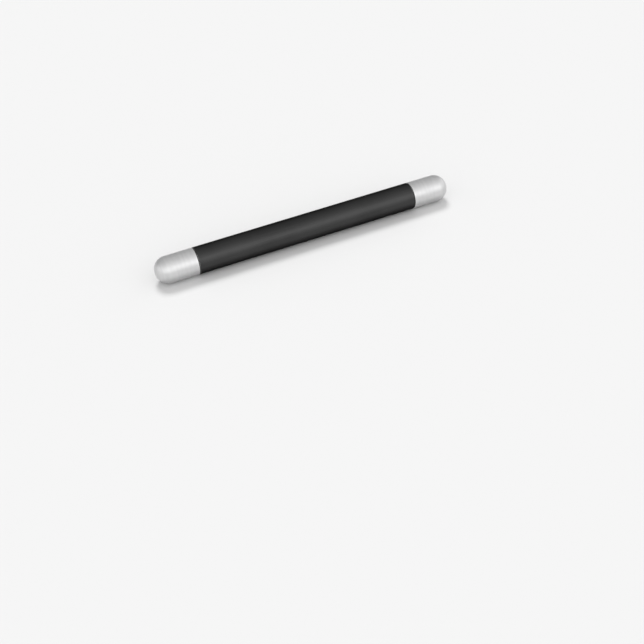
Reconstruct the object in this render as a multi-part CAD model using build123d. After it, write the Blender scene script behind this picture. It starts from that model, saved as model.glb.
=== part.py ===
from build123d import *
import os
from math import radians, tan

# A stage magician's wand: a black anodised tube with a bright metal tip screwed on each end.
#
# Millimetres, +Z up. The wand lies along X, with the origin on its axis at mid length.
# Each end piece is drawn standing on Z, where z = 0 is the end face of the shaft tube and z grows
# towards the wand's end. It is then turned onto X, once for the left end (-X) and once for the
# right end (+X). Turning, unlike mirroring, keeps both threads right-handed.

# Driving dimensions: the outside
WAND_LENGTH = 290.0
WAND_DIAMETER = 25.0
TIP_LENGTH = 38.0  # from the shaft's end face to the end of the wand
TIP_CORNER_RADIUS = 11.5  # rounds the tip's end, and leaves a small flat in the middle

# The shaft tube
TUBE_WALL = 1.5
TUBE_EDGE_ROUND = 0.3

# The seam between the shaft and a tip
WASHER_THICKNESS = 0.5
WASHER_DIAMETER = 24.4
SEAM_GAP = 0.55  # the washer, and 0.05 of air

# The end plug, bonded into the tube
PLUG_DEPTH = 24.0
PLUG_EDGE_CHAMFER = 0.8
GLUE_GROOVE_DEPTH = 0.4
GLUE_GROOVE_WIDTH = 2.5
GLUE_GROOVE_PLACES = (7.0, 17.0)  # from the tube's end face to the middle of each groove
PLUG_BORE_DIAMETER = 12.0
PLUG_BORE_FLOOR = 4.0  # solid metal left under the plug's end face
NECK_DIAMETER = 18.0
NECK_LENGTH = 5.0
SPIGOT_LENGTH = 15.0  # neck and thread together
VENT_DIAMETER = 2.5  # lets the trapped air out while the plug is bonded
VENT_MOUTH_DIAMETER = 5.0

# The thread, 16 x 2, and the clearances of the one in the tip
THREAD_PITCH = 2.0
THREAD_ANGLE = 60.0
THREAD_CREST_RADIUS = 7.9
THREAD_CREST_WIDTH = 0.30
THREAD_ROOT_RADIUS = 6.75
THREAD_LEAD_IN = 1.2
LEAD_IN_OVERLAP = 0.25  # the lead-in cone runs from outside the crest to inside the root
THREAD_EMBED = 0.25  # a ridge reaches this far into the metal that it stands on
FLANK_CLEARANCE = 0.14  # on each flank, along the axis
CREST_CLEARANCE = 0.15
ROOT_CLEARANCE = 0.20

# The rubber ring in the tip's mouth, at its squeezed size
RING_SECTION_RADIUS = 0.80
RING_FIT = 0.05  # air inside and outside the ring
RING_GROOVE_WIDTH = 2.6
RING_GROOVE_START = 1.8

# The tip: a spun shell around a moulded core
SHELL_WALL = 1.0
RIM_ROUND = 0.35
CORE_RECESS = 0.45  # from the shell's rim to the core's face
CORE_END = 22.0
MOUTH_CLEARANCE = 0.10
MOUTH_DEPTH = 5.3
BORE_END = 18.5
RELIEF_LENGTH = 2.0
RELIEF_DEPTH = 0.20  # the lead-in and the relief are this much wider than the thread

# Worked out from the driving dimensions
WAND_RADIUS = WAND_DIAMETER / 2
SHAFT_HALF_LENGTH = WAND_LENGTH / 2 - TIP_LENGTH
TUBE_BORE_RADIUS = WAND_RADIUS - TUBE_WALL
NECK_RADIUS = NECK_DIAMETER / 2
MOUTH_RADIUS = NECK_RADIUS + MOUTH_CLEARANCE
WASHER_BORE_RADIUS = MOUTH_RADIUS + MOUTH_CLEARANCE
RING_CENTRE_RADIUS = NECK_RADIUS + RING_FIT + RING_SECTION_RADIUS
RING_GROOVE_RADIUS = RING_CENTRE_RADIUS + RING_SECTION_RADIUS + RING_FIT
FLANK_SPREAD = 2 * tan(radians(THREAD_ANGLE / 2))  # ridge width gained per millimetre of depth
NUT_BORE_RADIUS = THREAD_ROOT_RADIUS + ROOT_CLEARANCE
NUT_CREST_RADIUS = THREAD_CREST_RADIUS + CREST_CLEARANCE
NUT_CREST_WIDTH = THREAD_CREST_WIDTH - CREST_CLEARANCE * FLANK_SPREAD + 2 * FLANK_CLEARANCE
RELIEF_RADIUS = NUT_CREST_RADIUS + RELIEF_DEPTH
CORE_RADIUS = WAND_RADIUS - SHELL_WALL
CORE_FACE = SEAM_GAP + CORE_RECESS

UPRIGHT = (Align.CENTER, Align.CENTER, Align.MIN)


def rod(radius, start, end):
    """A round bar on Z from start to end."""
    return Pos(0, 0, start) * Cylinder(radius, end - start, align=UPRIGHT)


def taper(start_radius, end_radius, start, end):
    """A cone on Z that goes from one radius to the other."""
    return Pos(0, 0, start) * Cone(start_radius, end_radius, end - start, align=UPRIGHT)


def ring(inner_radius, outer_radius, start, end):
    """A tube or washer on Z from start to end."""
    return rod(outer_radius, start, end) - rod(inner_radius, start, end)


def domed_bar(radius, start, end, corner_radius):
    """A round bar on Z whose far end is rounded over."""
    bar = rod(radius, start, end)
    return fillet(bar.edges().group_by(Axis.Z)[-1], corner_radius)


def thread_ridge(crest_radius, crest_width, root_radius, start, end):
    """A right-handed helical ridge around Z, wider at its root than at its crest."""
    root_width = crest_width + (crest_radius - root_radius) * FLANK_SPREAD
    outline = Polyline(
        (root_radius, start - root_width / 2),
        (crest_radius, start - crest_width / 2),
        (crest_radius, start + crest_width / 2),
        (root_radius, start + root_width / 2),
        close=True,
    )
    section = make_face(Plane.XZ * outline)
    path = Helix(THREAD_PITCH, end - start, crest_radius, center=(0, 0, start))
    return sweep(section, path=path, is_frenet=True)


def make_shaft_tube():
    """The whole shaft, lying along X, with its end edges broken."""
    tube = ring(TUBE_BORE_RADIUS, WAND_RADIUS, -SHAFT_HALF_LENGTH, SHAFT_HALF_LENGTH)
    return Rot(0, 90, 0) * fillet(tube.edges().filter_by(GeomType.CIRCLE), TUBE_EDGE_ROUND)


def make_screw():
    """The plug's threaded end: the ridge starts at the neck and fades out in the lead-in."""
    lead_in = SPIGOT_LENGTH - THREAD_LEAD_IN
    screw = rod(THREAD_ROOT_RADIUS, 0, SPIGOT_LENGTH + THREAD_PITCH)
    screw += thread_ridge(
        THREAD_CREST_RADIUS,
        THREAD_CREST_WIDTH,
        THREAD_ROOT_RADIUS - THREAD_EMBED,
        NECK_LENGTH - THREAD_PITCH,
        SPIGOT_LENGTH + THREAD_PITCH,
    )
    lead_in_start_radius = THREAD_CREST_RADIUS + LEAD_IN_OVERLAP
    lead_in_end_radius = THREAD_ROOT_RADIUS - LEAD_IN_OVERLAP
    envelope = rod(NECK_RADIUS, NECK_LENGTH, lead_in)
    envelope += taper(lead_in_start_radius, lead_in_end_radius, lead_in, SPIGOT_LENGTH)
    return screw & envelope


def make_end_plug():
    """A turned plug: bonded body, plain neck for the rubber ring, and thread."""
    body = rod(TUBE_BORE_RADIUS, -PLUG_DEPTH, 0)
    body = chamfer(body.edges().group_by(Axis.Z)[0], PLUG_EDGE_CHAMFER)
    for place in GLUE_GROOVE_PLACES:
        groove_start = -place - GLUE_GROOVE_WIDTH / 2
        groove_floor = TUBE_BORE_RADIUS - GLUE_GROOVE_DEPTH
        body -= ring(groove_floor, WAND_RADIUS, groove_start, groove_start + GLUE_GROOVE_WIDTH)
    body -= rod(PLUG_BORE_DIAMETER / 2, -PLUG_DEPTH, -PLUG_BORE_FLOOR)

    plug = body + rod(NECK_RADIUS, 0, NECK_LENGTH) + make_screw()
    plug -= rod(VENT_DIAMETER / 2, -PLUG_DEPTH, SPIGOT_LENGTH)
    vent_mouth_depth = (VENT_MOUTH_DIAMETER - VENT_DIAMETER) / 2
    vent_mouth_start = SPIGOT_LENGTH - vent_mouth_depth
    return plug - taper(VENT_DIAMETER / 2, VENT_MOUTH_DIAMETER / 2, vent_mouth_start, SPIGOT_LENGTH)


def make_seat_washer():
    """The thin black washer that the tip tightens against."""
    return ring(WASHER_BORE_RADIUS, WASHER_DIAMETER / 2, 0, WASHER_THICKNESS)


def make_o_ring():
    """The rubber ring that rides in the tip's mouth and grips the plug's neck."""
    middle = RING_GROOVE_START + RING_GROOVE_WIDTH / 2
    return Pos(0, 0, middle) * Torus(RING_CENTRE_RADIUS, RING_SECTION_RADIUS)


def make_tip_core():
    """The moulded core: ring groove in the mouth, then an internal thread and its relief."""
    tap = rod(NUT_BORE_RADIUS, 0, BORE_END)
    tap += thread_ridge(
        NUT_CREST_RADIUS,
        NUT_CREST_WIDTH,
        NUT_BORE_RADIUS - THREAD_EMBED,
        NECK_LENGTH - THREAD_PITCH,
        BORE_END - RELIEF_LENGTH / 2,
    )
    core = rod(CORE_RADIUS, CORE_FACE, CORE_END) - tap
    core -= rod(RELIEF_RADIUS, BORE_END - RELIEF_LENGTH, BORE_END)
    core -= taper(RELIEF_RADIUS, THREAD_ROOT_RADIUS, MOUTH_DEPTH, MOUTH_DEPTH + THREAD_LEAD_IN)
    core -= rod(RING_GROOVE_RADIUS, RING_GROOVE_START, RING_GROOVE_START + RING_GROOVE_WIDTH)
    return core - rod(MOUTH_RADIUS, CORE_FACE, MOUTH_DEPTH)


def make_tip_cap():
    """The bright shell, flush with the shaft, with a rolled-over rim at the seam."""
    shell = domed_bar(WAND_RADIUS, SEAM_GAP, TIP_LENGTH, TIP_CORNER_RADIUS)
    inner_corner_radius = TIP_CORNER_RADIUS - SHELL_WALL
    shell -= domed_bar(CORE_RADIUS, SEAM_GAP, TIP_LENGTH - SHELL_WALL, inner_corner_radius)
    return fillet(shell.edges().group_by(Axis.Z)[0], RIM_ROUND)


def main():
    end_pieces = {
        "end_plug": make_end_plug(),
        "seat_washer": make_seat_washer(),
        "o_ring": make_o_ring(),
        "tip_core": make_tip_core(),
        "tip_cap": make_tip_cap(),
    }
    wand_ends = {
        "left": Pos(-SHAFT_HALF_LENGTH, 0, 0) * Rot(0, -90, 0),
        "right": Pos(SHAFT_HALF_LENGTH, 0, 0) * Rot(0, 90, 0),
    }
    os.makedirs("parts", exist_ok=True)
    export_step(make_shaft_tube(), "parts/shaft_tube.step")
    for side, end_of_shaft in wand_ends.items():
        for name, piece in end_pieces.items():
            export_step(end_of_shaft * piece, f"parts/{side}_{name}.step")


main()
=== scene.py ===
from math import cos, pi, radians, sin

import bmesh
import bpy
from mathutils import Matrix, Vector


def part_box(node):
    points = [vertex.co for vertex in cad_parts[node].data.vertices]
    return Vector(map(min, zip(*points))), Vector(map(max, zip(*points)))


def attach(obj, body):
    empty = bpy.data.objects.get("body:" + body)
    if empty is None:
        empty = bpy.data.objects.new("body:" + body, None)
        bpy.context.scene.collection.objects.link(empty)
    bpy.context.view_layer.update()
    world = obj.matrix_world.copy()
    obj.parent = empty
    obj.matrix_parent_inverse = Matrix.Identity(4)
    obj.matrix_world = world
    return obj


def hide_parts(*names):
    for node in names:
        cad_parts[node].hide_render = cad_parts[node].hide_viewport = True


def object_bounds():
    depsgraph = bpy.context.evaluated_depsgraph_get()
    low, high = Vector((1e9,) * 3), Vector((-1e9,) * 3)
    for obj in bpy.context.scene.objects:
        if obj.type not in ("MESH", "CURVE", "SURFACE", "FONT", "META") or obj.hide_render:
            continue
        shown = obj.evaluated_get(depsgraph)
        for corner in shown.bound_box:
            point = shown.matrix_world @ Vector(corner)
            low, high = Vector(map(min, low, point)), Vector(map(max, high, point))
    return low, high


# A stage magician's wand lying on a pale studio floor. Metres, in the frame's own axes: the wand
# lies along X with its middle at the origin, and the left tip is at -X.

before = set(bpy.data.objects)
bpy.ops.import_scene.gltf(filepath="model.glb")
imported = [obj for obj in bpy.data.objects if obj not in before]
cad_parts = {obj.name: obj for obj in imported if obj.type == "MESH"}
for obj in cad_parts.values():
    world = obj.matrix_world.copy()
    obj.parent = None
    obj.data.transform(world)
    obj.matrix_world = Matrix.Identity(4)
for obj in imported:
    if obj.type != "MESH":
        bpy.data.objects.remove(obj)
cad_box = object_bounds()

MM = 1000.0  # millimetres in a metre
MICRON = 0.000001  # in metres

SIDES = ("left", "right")
SHAFT_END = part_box("shaft_tube")[1].x  # from the wand's middle to either end of the shaft
WAND_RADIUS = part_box("shaft_tube")[1].z
TIP_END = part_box("right_tip_cap")[1].x
TIP_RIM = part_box("right_tip_cap")[0].x
RING_START, RING_END = [corner.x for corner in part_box("right_o_ring")]

# Shape, beyond what the frame's boxes give
SEGMENTS = 160  # around the wand
EDGE_ROUND = 0.0003  # the tube's end edges
RIM_ROUND = 0.00035  # the tip's rim at the seam
TUBE_WALL = 0.0015
SHELL_WALL = 0.001
TIP_CORNER = 0.0115  # rounds the end of a tip
ROUND_STEPS = 6  # steps along a small rounding
DOME_STEPS = 28  # steps along the rounded end of a tip
GUARD = 0.0004  # a support loop beside each rounding, which keeps its shading to itself
STRAIGHT_STEP = 0.004  # about the distance between loops on a straight run
SHARP_ANGLE = 40  # degrees between faces, from which an edge is shaded sharp

# Radii that the inner pieces' materials are laid out by, in millimetres
THREAD_ROOT = 6.75
THREAD_CREST = 7.9
CORE_MOUTH = 9.1

# Camera
CAMERA_AZIMUTH = -21.8
CAMERA_ELEVATION = 36.5
CAMERA_ROLL = -5.0
CAMERA_DISTANCE = 1.118
CAMERA_LENS = 68.4
SENSOR_WIDTH = 36.0
AIM_RIGHT = 0.0152  # the view's middle is to the right of the wand's middle
AIM_DOWN = 0.0864  # and this far below it

# Light and floor. The sky's brightness is told by the angle around X from the strip light.
STRIP_ELEVATION = 30.0
FLOOR_SIZE = 40.0
FLOOR_SHADE = 0.65
SKY_WINGS = 0.30  # far from the strip
SKY_STRIP = 1.50  # what the strip adds in its middle
SKY_FALL = 50.0  # degrees over which the strip fades to a third
SKY_ENDS = 1.20  # off the wand's two ends
SKY_ENDS_FADE = (0.60, 0.98)  # how far along X a direction points where the ends begin and are full
SKY_BACKDROP = 0.93  # as the camera sees it
SUN_PLACE = (0.15, 0.55, 1.00)
SUN_ANGLE = 24.0
SUN_STRENGTH = 1.85


# ---- Meshes ----


def arc(centre, radius, start, end, steps):
    """Points (x, r) on a circle, from one angle to another, both in degrees."""
    turns = [radians(start + (end - start) * i / steps) for i in range(steps + 1)]
    return [(centre[0] + radius * cos(a), centre[1] + radius * sin(a)) for a in turns]


def straight(start, end):
    """The points between two (x, r) points, both left out, evenly spaced."""
    run = Vector(end) - Vector(start)
    pieces = max(1, round(run.length / STRAIGHT_STEP))
    return [tuple(Vector(start) + run * i / pieces) for i in range(1, pieces)]


def turned_mesh(name, outline, closed=True):
    """A solid of revolution about X from an outline of (x, r) points.

    A closed outline makes a ring. An open one has its first and last points near the axis, and
    each is closed with a flat face.
    """
    mesh = bpy.data.meshes.new(name)
    build = bmesh.new()
    rings = []
    for x, radius in outline:
        angles = [2 * pi * i / SEGMENTS for i in range(SEGMENTS)]
        rings.append([build.verts.new((x, radius * cos(a), radius * sin(a))) for a in angles])
    pairs = list(zip(rings, rings[1:]))
    if closed:
        pairs.append((rings[-1], rings[0]))
    for near, far in pairs:
        for i in range(SEGMENTS):
            j = (i + 1) % SEGMENTS
            build.faces.new((near[i], near[j], far[j], far[i]))
    if not closed:
        build.faces.new(rings[0])
        build.faces.new(rings[-1])
    bmesh.ops.recalc_face_normals(build, faces=build.faces)
    build.to_mesh(mesh)
    build.free()
    mesh.shade_smooth()
    mesh.set_sharp_from_angle(angle=radians(SHARP_ANGLE))
    return mesh


def make_shaft():
    """The black tube, with rounded edges at both ends and its bore."""
    bore = WAND_RADIUS - TUBE_WALL
    round_middle = SHAFT_END - EDGE_ROUND
    right_end = (
        arc((round_middle, bore + EDGE_ROUND), EDGE_ROUND, -90, 0, ROUND_STEPS)
        + arc((round_middle, WAND_RADIUS - EDGE_ROUND), EDGE_ROUND, 0, 90, ROUND_STEPS)
    )
    left_end = [(-x, r) for x, r in reversed(right_end)]
    guard = round_middle - GUARD
    outside = [(guard, WAND_RADIUS)] + straight((guard, WAND_RADIUS), (-guard, WAND_RADIUS))
    outside.append((-guard, WAND_RADIUS))
    inside = [(-guard, bore)] + straight((-guard, bore), (guard, bore)) + [(guard, bore)]
    return turned_mesh("shaft_skin", right_end + outside + left_end + inside)


def make_tip_shell(side):
    """A tip's bright shell: rolled rim, straight wall and rounded end, with its inside."""
    bore = WAND_RADIUS - SHELL_WALL
    corner = TIP_END - TIP_CORNER
    guard = TIP_RIM + RIM_ROUND + GUARD
    inner_corner = TIP_CORNER - SHELL_WALL
    outline = (
        arc((corner, bore - inner_corner), inner_corner, 0, 90, DOME_STEPS)
        + straight((corner, bore), (guard, bore))
        + [(guard, bore)]
        + arc((TIP_RIM + RIM_ROUND, bore + RIM_ROUND), RIM_ROUND, 270, 180, ROUND_STEPS)
        + arc((TIP_RIM + RIM_ROUND, WAND_RADIUS - RIM_ROUND), RIM_ROUND, 180, 90, ROUND_STEPS)
        + [(guard, WAND_RADIUS)]
        + straight((guard, WAND_RADIUS), (corner, WAND_RADIUS))
        + arc((corner, WAND_RADIUS - TIP_CORNER), TIP_CORNER, 90, 0, DOME_STEPS)
    )
    if side == "left":
        outline = [(-x, r) for x, r in outline]
    return turned_mesh(f"{side}_tip_shell", outline, closed=False)


def add_skin(name, mesh, body, node, material):
    """Puts a finished piece in the place of a CAD node."""
    piece = bpy.data.objects.new(name, mesh)
    bpy.context.scene.collection.objects.link(piece)
    mesh.materials.append(material)
    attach(piece, body)
    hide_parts(node)


# ---- Node trees ----


class Graph:
    """A node tree, built from small steps. A value is a number, a vector or a node's output."""

    def __init__(self, tree):
        self.tree = tree

    def feed(self, value, socket):
        if isinstance(value, bpy.types.NodeSocket):
            self.tree.links.new(value, socket)
        elif isinstance(value, (tuple, Vector)) and len(socket.default_value) == 4:
            socket.default_value = (*value, 1)
        else:
            socket.default_value = value

    def node(self, kind, inputs, output=0, **settings):
        """Adds a node, fills its inputs, and gives the named or numbered output, or several."""
        made = self.tree.nodes.new(kind)
        for name, value in settings.items():
            setattr(made, name, value)
        for key, value in inputs.items():
            self.feed(value, made.inputs[key])
        if isinstance(output, tuple):
            return [made.outputs[key] for key in output]
        return made.outputs[output]

    def maths(self, operation, *values):
        return self.node("ShaderNodeMath", dict(enumerate(values)), operation=operation)

    def plus(self, first, second):
        return self.maths("ADD", first, second)

    def minus(self, first, second):
        return self.maths("SUBTRACT", first, second)

    def times(self, first, second):
        return self.maths("MULTIPLY", first, second)

    def remap(self, value, from_low, from_high, to_low=0.0, to_high=1.0):
        """Eases a value from one range into another, and holds it there."""
        inputs = {0: value, 1: from_low, 2: from_high, 3: to_low, 4: to_high}
        return self.node("ShaderNodeMapRange", inputs, interpolation_type="SMOOTHSTEP")

    def spread(self, noise, low=0.0, high=1.0):
        """Eases the usual run of a noise's shades into a range."""
        return self.remap(noise, 0.3, 0.7, low, high)

    def join(self, x, y, z=0.0):
        return self.node("ShaderNodeCombineXYZ", {0: x, 1: y, 2: z})

    def split(self, vector):
        return self.node("ShaderNodeSeparateXYZ", {0: vector}, output=(0, 1, 2))

    def vectors(self, operation, first, second):
        return self.node("ShaderNodeVectorMath", {0: first, 1: second}, operation=operation)

    def stretch(self, vector, scales):
        return self.vectors("MULTIPLY", vector, scales)

    def noise(self, vector, scale=1.0, detail=2.0):
        """Random shades from 0 to 1, mostly near 0.5."""
        return self.node("ShaderNodeTexNoise", {"Vector": vector, "Scale": scale, "Detail": detail})

    def blend(self, share, first, second):
        """The first colour where the share is 0, and the second where it is 1."""
        inputs = {0: share, 6: first, 7: second}
        return self.node("ShaderNodeMix", inputs, output=2, data_type="RGBA")

    def relief(self, height, depth, under=None):
        """Raises the surface by a height from 0 to 1 times a depth in metres."""
        inputs = {"Height": height, "Distance": depth, "Strength": 1.0}
        if under is not None:
            inputs["Normal"] = under
        return self.node("ShaderNodeBump", inputs)


class Material(Graph):
    """A principled material with the places on the wand that its patterns are laid out by.

    Places are in millimetres: point is (x, y, z), out is the distance from the wand's middle
    towards an end, off_axis is the distance from X, around is measured round the surface, and
    outward grows along a tip's wall and then in over its end.
    """

    def __init__(self, name, **uniform):
        self.made = bpy.data.materials.new(name)
        self.made.use_nodes = True
        super().__init__(self.made.node_tree)
        self.shader = self.tree.nodes["Principled BSDF"]
        self.set(**uniform)
        place = self.node("ShaderNodeTexCoord", {}, output="Object")
        self.point = self.stretch(place, (MM, MM, MM))
        x, y, z = self.split(self.point)
        self.out = self.maths("ABSOLUTE", x)
        self.across = self.join(0.0, y, z)
        self.off_axis = self.node("ShaderNodeVectorMath", {0: self.across}, "Value", operation="LENGTH")
        self.outward = self.minus(self.out, self.off_axis)
        self.around = self.times(self.maths("ARCTAN2", y, z), WAND_RADIUS * MM)

    def set(self, **values):
        """Gives the shader's sockets their values: base_color=..., roughness=... and so on."""
        for name, value in values.items():
            socket = next(s for s in self.shader.inputs if s.name.lower().replace(" ", "_") == name)
            self.feed(value, socket)

    def lines(self, place, per_mm, drift=0.05):
        """Fine parallel lines across the direction that a place grows in, slowly changing round X."""
        fine = self.join(self.times(place, per_mm), 0.0)
        slow = self.stretch(self.across, (drift, drift, drift))
        return self.noise(self.vectors("ADD", fine, slow))

    def scratches(self, turn, stray, spacing, length, width, share):
        """Separate straight hairlines, at most one in each random cell: 1 on a line and 0 off it.

        turn is their direction in degrees, where 0 runs along the wand, and stray is how far they
        turn from it. share is the part of the cells that has one.
        """
        flat = self.join(self.outward, self.around)
        middle, chance = self.node(
            "ShaderNodeTexVoronoi",
            {"Vector": flat, "Scale": 1 / spacing},
            output=("Position", "Color"),
            voronoi_dimensions="2D",
        )
        turning, present, depth = self.split(chance)
        angle = self.maths("MULTIPLY_ADD", turning, radians(2 * stray), radians(turn - stray))
        offset = self.vectors("SUBTRACT", flat, middle)
        inputs = {"Vector": offset, "Angle": angle}
        laid = self.node("ShaderNodeVectorRotate", inputs, rotation_type="Z_AXIS", invert=True)
        along, across = self.split(laid)[:2]
        ends = self.maths("POWER", self.maths("DIVIDE", self.maths("ABSOLUTE", along), length / 2), 2)
        sides = self.maths("DIVIDE", self.maths("ABSOLUTE", across), width / 2)
        inside = self.minus(self.minus(1, ends), sides)
        line = self.times(self.remap(inside, 0.0, 0.5), depth)
        return self.times(line, self.maths("LESS_THAN", present, share))


def grey(shade):
    return (shade, shade, shade)


# ---- Materials ----


def black_anodised():
    """Drawn aluminium tube, polished and dyed black, rubbed bright on its end edges."""
    m = Material("black_anodised", metallic=1.0, specular_tint=grey(0.35))
    drawn = m.noise(m.stretch(m.point, (0.012, 3.0, 3.0)), detail=3.0)
    grain = m.noise(m.point, scale=6.0)
    cloud = m.noise(m.point, scale=0.035, detail=3.0)
    handled = m.remap(m.noise(m.point, scale=0.11, detail=4.0), 0.50, 0.68)
    along = m.scratches(turn=0, stray=12, spacing=11.0, length=13.0, width=0.14, share=0.30)
    across = m.scratches(turn=75, stray=40, spacing=14.0, length=8.0, width=0.12, share=0.30)
    scratched = m.maths("MAXIMUM", along, across)

    # smallest, at 0.18, in the middle of the rounded edge, and 0.3 where the edge begins
    from_end = m.minus(SHAFT_END * MM, m.out)
    from_outside = m.minus(WAND_RADIUS * MM, m.off_axis)
    from_edge = m.plus(from_end, from_outside)
    spared = m.remap(m.noise(m.point, scale=0.14, detail=3.0), 0.40, 0.60, 0.0, 0.25)
    worn = m.remap(m.plus(from_edge, spared), 0.36, 0.24)

    dye = m.blend(m.spread(cloud), grey(0.046), grey(0.054))
    dye = m.blend(m.remap(drawn, 0.40, 0.75, 0.0, 0.4), dye, grey(0.065))
    dye = m.blend(m.times(scratched, 0.45), dye, grey(0.15))
    m.set(base_color=m.blend(m.times(worn, 0.7), dye, grey(0.34)))

    roughness = m.spread(cloud, 0.28, 0.32)
    roughness = m.plus(roughness, m.times(handled, 0.04))
    m.set(roughness=roughness)

    normal = m.relief(grain, 0.6 * MICRON)
    normal = m.relief(drawn, 1.6 * MICRON, under=normal)
    m.set(normal=m.relief(m.times(scratched, -1), 0.8 * MICRON, under=normal))
    return m.made


def tip_silver():
    """Spun and satin-plated metal: fine rings, a burnished rim whose lighter colour also paints a
    highlight line along the seam, and knocks on the rounded end.
    """
    m = Material("tip_silver", metallic=0.85, specular_tint=grey(0.9))
    rings = m.lines(m.outward, per_mm=2.6)
    bands = m.lines(m.outward, per_mm=0.45)
    cloud = m.noise(m.point, scale=0.07, detail=3.0)
    handled = m.remap(m.noise(m.point, scale=0.16, detail=4.0), 0.50, 0.66)
    across = m.scratches(turn=85, stray=15, spacing=8.0, length=9.0, width=0.12, share=0.35)
    slanted = m.scratches(turn=30, stray=35, spacing=9.5, length=6.0, width=0.10, share=0.30)
    scratched = m.maths("MAXIMUM", across, slanted)

    # the first 0.8 mm from the rim: really burnished (lower roughness), and painted lighter as a
    # highlight line along the seam
    burnished_rim_and_painted_highlight = m.remap(m.out, TIP_RIM * MM + 1.1, TIP_RIM * MM + 0.8)
    near_end = m.remap(m.out, TIP_END * MM - 6.0, TIP_END * MM - 0.5)
    knocks = m.remap(m.noise(m.point, scale=0.9, detail=5.0), 0.55, 0.66)
    knocked = m.times(knocks, near_end)

    plate = m.blend(m.remap(bands, 0.35, 0.65), (0.590, 0.590, 0.593), (0.618, 0.618, 0.620))
    plate = m.blend(m.remap(rings, 0.35, 0.70, 0.0, 0.3), plate, grey(0.655))
    plate = m.blend(m.times(scratched, 0.5), plate, grey(0.42))
    plate = m.blend(m.times(knocked, 0.25), plate, grey(0.47))
    # the rim band's lighter colour is a painted highlight along the seam, not a property of the metal
    m.set(base_color=m.blend(burnished_rim_and_painted_highlight, plate, grey(0.66)))

    roughness = m.spread(cloud, 0.32, 0.39)
    roughness = m.plus(roughness, m.times(handled, 0.06))
    roughness = m.plus(roughness, m.times(knocked, 0.10))
    m.set(roughness=m.minus(roughness, m.times(burnished_rim_and_painted_highlight, 0.06)))

    normal = m.relief(rings, 1.2 * MICRON)
    normal = m.relief(bands, 1.8 * MICRON, under=normal)
    normal = m.relief(m.times(knocked, -1), 4 * MICRON, under=normal)
    m.set(normal=m.relief(m.times(scratched, -1), 1.2 * MICRON, under=normal))
    return m.made


def plug_metal():
    """Turned aluminium: tool lines, brighter thread crests, and a trace of grease in the thread."""
    m = Material("plug_metal", metallic=1.0)
    turned = m.lines(m.outward, per_mm=3.4, drift=0.12)
    feed = m.lines(m.outward, per_mm=0.9, drift=0.12)
    cloud = m.noise(m.point, scale=0.2, detail=3.0)
    crest = m.remap(m.off_axis, THREAD_CREST - 0.35, THREAD_CREST - 0.05)
    outside_thread = m.remap(m.off_axis, THREAD_CREST, THREAD_CREST + 0.2)
    below_flank = m.remap(m.off_axis, THREAD_ROOT + 0.55, THREAD_ROOT + 0.05)
    outside_bore = m.remap(m.off_axis, THREAD_ROOT - 0.55, THREAD_ROOT - 0.25)
    root = m.times(below_flank, outside_bore)
    greasy = m.times(root, m.spread(m.noise(m.point, scale=0.22)))

    metal = m.blend(m.spread(cloud), (0.60, 0.60, 0.61), (0.70, 0.70, 0.705))
    metal = m.blend(m.remap(turned, 0.40, 0.70, 0.0, 0.5), metal, grey(0.80))
    bright = m.minus(crest, outside_thread)
    metal = m.blend(m.times(bright, 0.7), metal, grey(0.88))
    m.set(base_color=m.blend(m.times(greasy, 0.6), metal, (0.30, 0.285, 0.26)))

    roughness = m.remap(feed, 0.35, 0.65, 0.24, 0.36)
    m.set(roughness=m.minus(roughness, m.times(greasy, 0.08)))
    m.set(normal=m.relief(feed, 6 * MICRON, under=m.relief(turned, 2.5 * MICRON)))
    return m.made


def core_plastic():
    """Moulded off-white acetal, with a fine spark-eroded skin, flow marks and a soiled mouth."""
    m = Material("core_plastic", roughness=0.5, specular_ior_level=0.4)
    skin = m.noise(m.point, scale=4.5, detail=3.0)
    flow = m.noise(m.stretch(m.point, (0.05, 0.35, 0.35)), detail=3.0)
    rings = m.lines(m.outward, per_mm=1.4)
    patches = m.remap(m.noise(m.point, scale=0.45, detail=5.0), 0.40, 0.75)
    mouth = m.remap(m.off_axis, CORE_MOUTH + 1.1, CORE_MOUTH)
    soiled = m.times(patches, mouth)

    white = m.blend(m.remap(flow, 0.35, 0.65), (0.70, 0.68, 0.62), (0.78, 0.765, 0.71))
    white = m.blend(m.remap(skin, 0.45, 0.75, 0.0, 0.35), white, (0.62, 0.60, 0.54))
    m.set(base_color=m.blend(m.times(soiled, 0.55), white, (0.34, 0.32, 0.29)))
    m.set(roughness=m.spread(skin, 0.42, 0.58))
    m.set(normal=m.relief(rings, 4 * MICRON, under=m.relief(skin, 5 * MICRON)))
    return m.made


def washer_black():
    """Black vulcanised fibre: matted strands, and a dusty cut edge."""
    m = Material("washer_black", specular_ior_level=0.35)
    strands = m.noise(m.stretch(m.point, (2.0, 5.0, 0.9)), detail=4.0)
    crossed = m.noise(m.stretch(m.point, (2.0, 0.9, 5.0)), detail=4.0)
    matted = m.maths("MAXIMUM", strands, crossed)
    dust = m.remap(m.noise(m.point, scale=0.7, detail=4.0), 0.50, 0.75)

    fibre = m.blend(m.remap(matted, 0.45, 0.75), grey(0.012), grey(0.040))
    m.set(base_color=m.blend(m.times(dust, 0.35), fibre, grey(0.075)))
    m.set(roughness=m.remap(matted, 0.4, 0.7, 0.66, 0.84))
    m.set(normal=m.relief(matted, 12 * MICRON))
    return m.made


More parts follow.
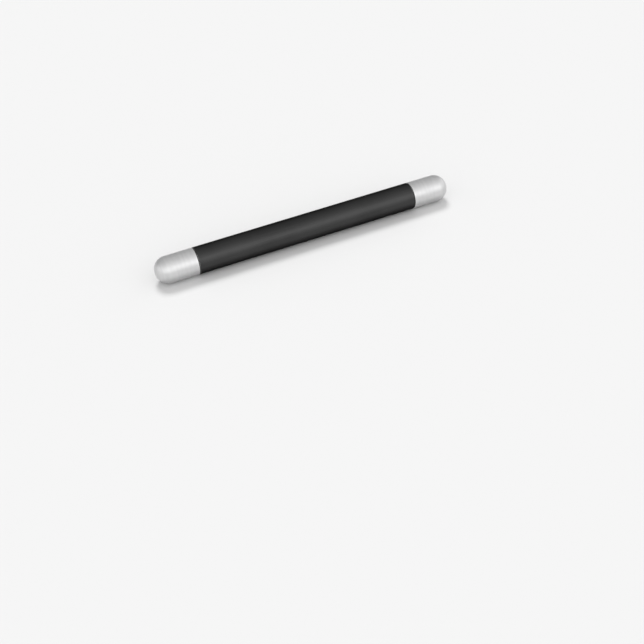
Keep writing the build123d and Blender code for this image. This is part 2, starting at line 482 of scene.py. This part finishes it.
def seal_rubber():
    """Black nitrile rubber with a bloom, and a faint moulding line round its inside and outside."""
    m = Material("seal_rubber", specular_ior_level=0.4)
    skin = m.noise(m.point, scale=5.0, detail=3.0)
    bloom = m.remap(m.noise(m.point, scale=0.6, detail=4.0), 0.45, 0.70)
    ring_middle = (RING_START + RING_END) / 2
    from_middle = m.maths("ABSOLUTE", m.minus(m.out, ring_middle * MM))
    parting = m.remap(from_middle, 0.09, 0.04)

    rubber = m.blend(m.remap(skin, 0.35, 0.70), grey(0.014), grey(0.030))
    m.set(base_color=m.blend(m.times(bloom, 0.40), rubber, grey(0.070)))
    m.set(roughness=m.plus(m.spread(skin, 0.44, 0.56), m.times(bloom, 0.15)))
    m.set(normal=m.relief(parting, 40 * MICRON, under=m.relief(skin, 6 * MICRON)))
    return m.made


def studio_floor():
    """Plain matt card."""
    return Material("studio_floor", specular_ior_level=0.0, base_color=grey(FLOOR_SHADE)).made


# ---- The studio ----


def camera_axes():
    """The camera's right, up and forward directions."""
    azimuth = radians(CAMERA_AZIMUTH)
    elevation = radians(CAMERA_ELEVATION)
    roll = radians(CAMERA_ROLL)
    forward = Vector((-sin(azimuth) * cos(elevation), cos(azimuth) * cos(elevation), -sin(elevation)))
    level_right = forward.cross(Vector((0, 0, 1))).normalized()
    level_up = level_right.cross(forward)
    right = cos(roll) * level_right + sin(roll) * level_up
    up = right.cross(forward)
    return right, up, forward


def add_camera():
    data = bpy.data.cameras.new("camera")
    data.lens = CAMERA_LENS
    data.sensor_width = SENSOR_WIDTH
    camera = bpy.data.objects.new("camera", data)
    bpy.context.scene.collection.objects.link(camera)
    right, up, forward = camera_axes()
    place = right * AIM_RIGHT - up * AIM_DOWN - forward * CAMERA_DISTANCE
    turn = Matrix((right, up, -forward)).transposed().to_4x4()
    camera.matrix_world = Matrix.Translation(place) @ turn
    bpy.context.scene.camera = camera


def add_floor():
    mesh = bpy.data.meshes.new("floor")
    build = bmesh.new()
    bmesh.ops.create_grid(build, x_segments=1, y_segments=1, size=FLOOR_SIZE / 2)
    build.to_mesh(mesh)
    build.free()
    mesh.materials.append(studio_floor())
    floor = bpy.data.objects.new("floor", mesh)
    floor.location.z = cad_box[0][2]
    bpy.context.scene.collection.objects.link(floor)


def add_sun():
    """A large soft light above and behind, for the floor and the shadow under the wand."""
    data = bpy.data.lights.new("sun", "SUN")
    data.angle = radians(SUN_ANGLE)
    data.energy = SUN_STRENGTH
    sun = bpy.data.objects.new("sun", data)
    sun.rotation_euler = Vector(SUN_PLACE).to_track_quat("Z", "Y").to_euler()
    sun.visible_glossy = False
    bpy.context.scene.collection.objects.link(sun)


def add_sky():
    """Soft light all round, with a brighter strip along the wand on the camera's side."""
    world = bpy.data.worlds.new("studio")
    world.use_nodes = True
    bpy.context.scene.world = world
    sky = Graph(world.node_tree)

    elevation = radians(STRIP_ELEVATION)
    strip = Vector((0, -cos(elevation), sin(elevation)))
    strip_side = Vector((1, 0, 0)).cross(strip)
    direction = sky.node("ShaderNodeTexCoord", {}, output="Generated")
    x = sky.split(direction)[0]

    def part_along(axis):
        return sky.node("ShaderNodeVectorMath", {0: direction, 1: axis}, "Value", operation="DOT_PRODUCT")

    angle = sky.maths("ABSOLUTE", sky.maths("ARCTAN2", part_along(strip_side), part_along(strip)))
    fading = sky.maths("EXPONENT", sky.maths("DIVIDE", angle, -radians(SKY_FALL)))
    light = sky.plus(sky.times(fading, SKY_STRIP), SKY_WINGS)
    ends = sky.remap(sky.maths("ABSOLUTE", x), *SKY_ENDS_FADE)
    light = sky.blend(ends, light, grey(SKY_ENDS))
    seen = sky.node("ShaderNodeLightPath", {}, output="Is Camera Ray")
    light = sky.blend(seen, light, grey(SKY_BACKDROP))
    sky.feed(light, sky.tree.nodes["Background"].inputs["Color"])
    bpy.context.scene.view_settings.view_transform = "Standard"


# ---- The wand ----

black = black_anodised()
silver = tip_silver()
add_skin("shaft_skin", make_shaft(), "shaft", "shaft_tube", black)
for side in SIDES:
    shell = make_tip_shell(side)
    add_skin(f"{side}_tip_shell", shell, f"{side}_tip", f"{side}_tip_cap", silver)

inner_materials = {
    "end_plug": plug_metal(),
    "seat_washer": washer_black(),
    "o_ring": seal_rubber(),
    "tip_core": core_plastic(),
}
for side in SIDES:
    for node, material in inner_materials.items():
        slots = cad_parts[f"{side}_{node}"].material_slots
        for slot in slots:
            slot.material = material

add_camera()
add_floor()
add_sun()
add_sky()
